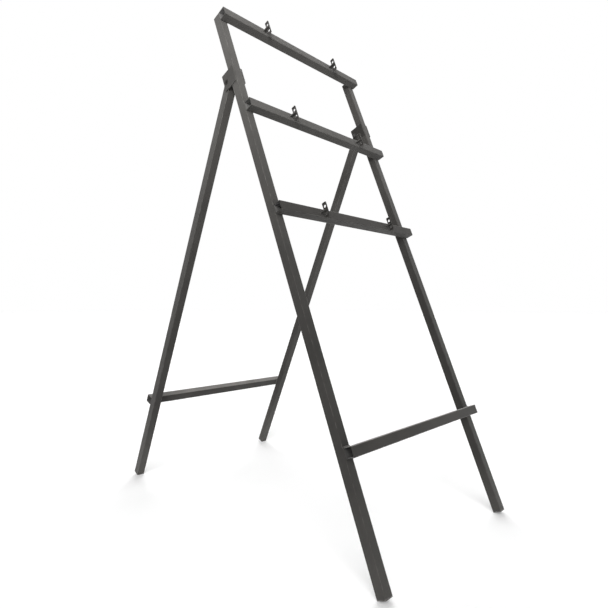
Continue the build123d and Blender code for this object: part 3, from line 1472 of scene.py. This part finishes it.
    def _locking_ring(self) -> Object:
        """Turn the nylon ring that shows inside the nut's collar.

        Returns:
            The ring.
        """
        node, outside, size = self._measure("pivot_nut")
        inner = self.bolt_width / 2 - self.ring_bite * self.thread_depth
        outer = self.bolt_width / 2 + self.ring_width
        height = self.collar_height - self.ring_drop * self.collar_lip
        shape = self._turned_ring(inner, outer, height, self.ring_ease * self.ring_width)
        self._onto_axis(shape, outside - self.side.value * (size.x - self.collar_height))
        return Piece(f"{node}_ring", Body.FRONT, Slot.FASTENER, self.nylon).place(shape)


def hang(name: str, data: Light, towards: Vector, location: Iterable[float] = (0.0, 0.0, 0.0)) -> None:
    """Hang a lamp.

    Args:
        name: The lamp's name.
        data: Its light.
        towards: Direction from the lit object to the lamp.
        location: Where it hangs, which matters for a near lamp alone.
    """
    lamp = bpy.data.objects.new(name, data)
    lamp.location = location
    lamp.rotation_mode = "QUATERNION"
    lamp.rotation_quaternion = towards.to_track_quat("Z", "Y")
    bpy.context.scene.collection.objects.link(lamp)


@dataclass(frozen=True)
class Window:
    """Broad far-off light from one direction."""

    name: str
    turn: float
    rise: float
    strength: float
    spread: float = math.radians(45.0)

    def build(self) -> None:
        """Hang the light."""
        data = bpy.data.lights.new(self.name, "SUN")
        data.energy = self.strength
        data.angle = self.spread
        flat = math.cos(self.rise)
        towards = Vector((flat * math.cos(self.turn), flat * math.sin(self.turn), math.sin(self.rise)))
        hang(self.name, data, towards)


@dataclass(frozen=True)
class SoftBox:
    """Round soft box near the object, whose light falls off with distance."""

    name: str
    location: tuple[float, float, float]
    power: float
    beam: float
    size: float = 0.5
    aim: tuple[float, float, float] = (-0.25, 0.0, 1.35)

    def build(self) -> None:
        """Hang the soft box."""
        data = bpy.data.lights.new(self.name, "AREA")
        data.shape = "DISK"
        data.size = self.size
        data.energy = self.power
        data.spread = self.beam
        hang(self.name, data, Vector(self.location) - Vector(self.aim), self.location)


@dataclass(frozen=True)
class Studio:
    """White studio: a pale floor, white surroundings, windows behind and in front, a soft box in front."""

    ambient: float = 0.30
    floor_size: float = 80.0
    floor_colour: Colour = (0.955, 0.955, 0.955, 1.0)
    floor_lift: float = 0.08
    pool_light: float = 0.02
    pool_middle: tuple[float, float, float] = (-0.6, -0.3, 0.0)
    pool_reach: float = 1.4
    pool_power: float = 2.0
    lamps: tuple[Window | SoftBox, ...] = (
        Window("back_window", math.radians(45.0), math.radians(36.0), 2.25),
        Window("front_window", math.radians(225.0), math.radians(30.0), 2.30),
        SoftBox("front_soft_box", (-1.2, -1.0, 1.5), 4.4, math.radians(60.0)),
    )

    def build(self) -> None:
        """Set up the studio."""
        bpy.context.scene.view_settings.view_transform = "Standard"
        self._surroundings()
        self._floor()
        for lamp in self.lamps:
            lamp.build()

    def _surroundings(self) -> None:
        """Make the surroundings white to look at and in reflections, and a soft light otherwise."""
        world = bpy.data.worlds.new("white_surroundings")
        world.use_nodes = True
        bpy.context.scene.world = world
        bench = Bench(world.node_tree)
        strength = bench.math("MULTIPLY_ADD", self._seen(bench), 1.0 - self.ambient, self.ambient)
        light = bench.node("ShaderNodeBackground", {"Color": WHITE, "Strength": strength})
        bench.node("ShaderNodeOutputWorld", {"Surface": light.outputs["Background"]})

    def _seen(self, bench: Bench) -> NodeSocket:
        """Tell rays that look at a place, directly or in a reflection, from those that gather light.

        Args:
            bench: The nodes of the world or the floor.

        Returns:
            A share that is 1 for rays that look.
        """
        path = bench.node("ShaderNodeLightPath").outputs
        seen = bench.math("MAXIMUM", path["Is Camera Ray"], path["Is Glossy Ray"])
        return bench.math("MAXIMUM", seen, path["Is Transmission Ray"])

    def _floor(self) -> None:
        """Lay the pale floor under the feet, lifted to white, a little less near the soft box."""
        shape = bmesh.new()
        bmesh.ops.create_grid(shape, x_segments=1, y_segments=1, size=self.floor_size / 2,
                              matrix=Matrix.Translation((0.0, 0.0, CAD_BOX[0].z)))
        mesh = bpy.data.meshes.new("floor")
        shape.to_mesh(mesh)
        shape.free()
        material, bench, coords = start_material("pale_floor")
        away = bench.node("ShaderNodeVectorMath", {0: coords.outputs["Object"], 1: self.pool_middle},
                          operation="DISTANCE")
        share = bench.math("DIVIDE", away.outputs["Value"], self.pool_reach)
        reach = bench.math("POWER", share, self.pool_power)
        pool = bench.math("DIVIDE", -self.pool_light, bench.math("ADD", reach, 1.0))
        lift = bench.math("MULTIPLY", self._seen(bench), bench.math("ADD", pool, self.floor_lift))
        matt = bench.node("ShaderNodeBsdfDiffuse", {"Color": self.floor_colour})
        glow = bench.node("ShaderNodeEmission", {"Strength": lift})
        shader = bench.node("ShaderNodeAddShader", {0: matt.outputs["BSDF"], 1: glow.outputs["Emission"]})
        bench.node("ShaderNodeOutputMaterial", {"Surface": shader.outputs["Shader"]})
        mesh.materials.append(material)
        laid = bpy.data.objects.new("floor", mesh)
        bpy.context.scene.collection.objects.link(laid)


@dataclass(frozen=True)
class PhotoCamera:
    """Camera at the photograph's viewpoint, low at the frame's front left corner."""

    lens: float = 28.108
    sensor: float = 36.0
    location: tuple[float, float, float] = (-1.09352, -1.07179, 0.59734)
    yaw: float = math.radians(45.913)
    pitch: float = math.radians(0.196)
    roll: float = math.radians(0.131)

    def build(self) -> None:
        """Set up the camera."""
        flat = math.cos(self.pitch)
        forward = Vector((math.sin(self.yaw) * flat, math.cos(self.yaw) * flat, math.sin(self.pitch)))
        level = Vector((math.cos(self.yaw), -math.sin(self.yaw), 0.0))
        above = level.cross(forward)
        right = level * math.cos(self.roll) + above * math.sin(self.roll)
        up = above * math.cos(self.roll) - level * math.sin(self.roll)
        data = bpy.data.cameras.new("photo_camera")
        data.lens = self.lens
        data.sensor_width = self.sensor
        camera = bpy.data.objects.new("photo_camera", data)
        turn = Matrix((right, up, -forward)).transposed().to_4x4()
        camera.matrix_world = Matrix.Translation(self.location) @ turn
        bpy.context.scene.collection.objects.link(camera)
        bpy.context.scene.camera = camera


def main() -> None:
    """Build the studio and the sign frame, and report each piece."""
    logging.basicConfig(level=logging.INFO, format="%(name)s: %(message)s")
    Studio().build()
    PhotoCamera().build()

    front_axes = LegAxes.of_mount("ballast_rest_front")
    rear_axes = LegAxes.of_mount("ballast_rest_rear")
    front_foot = front_axes.span("front_leg_left")[0].z
    rear_foot = rear_axes.span("rear_leg_left")[0].z
    front_coat = PowderCoat("front_powder_coat", front_axes, front_foot, splash_share=FRONT_FOOT_LIGHTENING).build()
    rear_coat = PowderCoat("rear_powder_coat", rear_axes, rear_foot).build()
    # Darker copy for the lower rail: painted shade.
    lower_rail_shade_coat = PowderCoat("lower_rail_powder_coat", front_axes, front_foot, Shade.LOWER_RAIL).build()
    # Darker copy for the outer cheeks: painted shade.
    cheek_shade_coat = PowderCoat("cheek_powder_coat", front_axes, front_foot, Shade.CHEEK).build()
    # Lighter copy for the tabs' left edges: a painted highlight.
    worn_coat = PowderCoat("worn_tab_coat", front_axes, front_foot, Shade.WORN_TAB).build()
    # Darker copy for the lugs and inner cheeks: painted shade.
    lug_shade_coat = PowderCoat("lug_powder_coat", front_axes, front_foot, Shade.LUG).build()
    # Lining of the tubes, lightened as painted light inside their mouths.
    bare = ZincLining().build()
    oxide = BlackOxide().build()
    grime = SocketGrime().build()
    nylon = LockingNylon().build()

    rails = tuple(f"{tier.value}_rail" for tier in Tier)
    front_legs = {side: f"front_leg_{side.word}" for side in Side}
    rear_legs = {side: f"rear_leg_{side.word}" for side in Side}
    parts = [
        TubeFrame(front_axes, Body.FRONT, front_coat, bare, front_legs, (*rails, "front_brace"),
                  {"lower_rail": lower_rail_shade_coat}),
        TubeFrame(rear_axes, Body.REAR, rear_coat, bare, rear_legs, ("rear_brace",)),
        SignLugs(front_axes, lug_shade_coat, worn_coat),
        *(Hinge(front_axes, side, cheek_shade_coat, lug_shade_coat, oxide, grime, nylon) for side in Side),
    ]
    for part in parts:
        for piece in part.build():
            log.info("%s: %d faces", piece.name, len(piece.data.polygons))


if __name__ == "__main__":
    main()
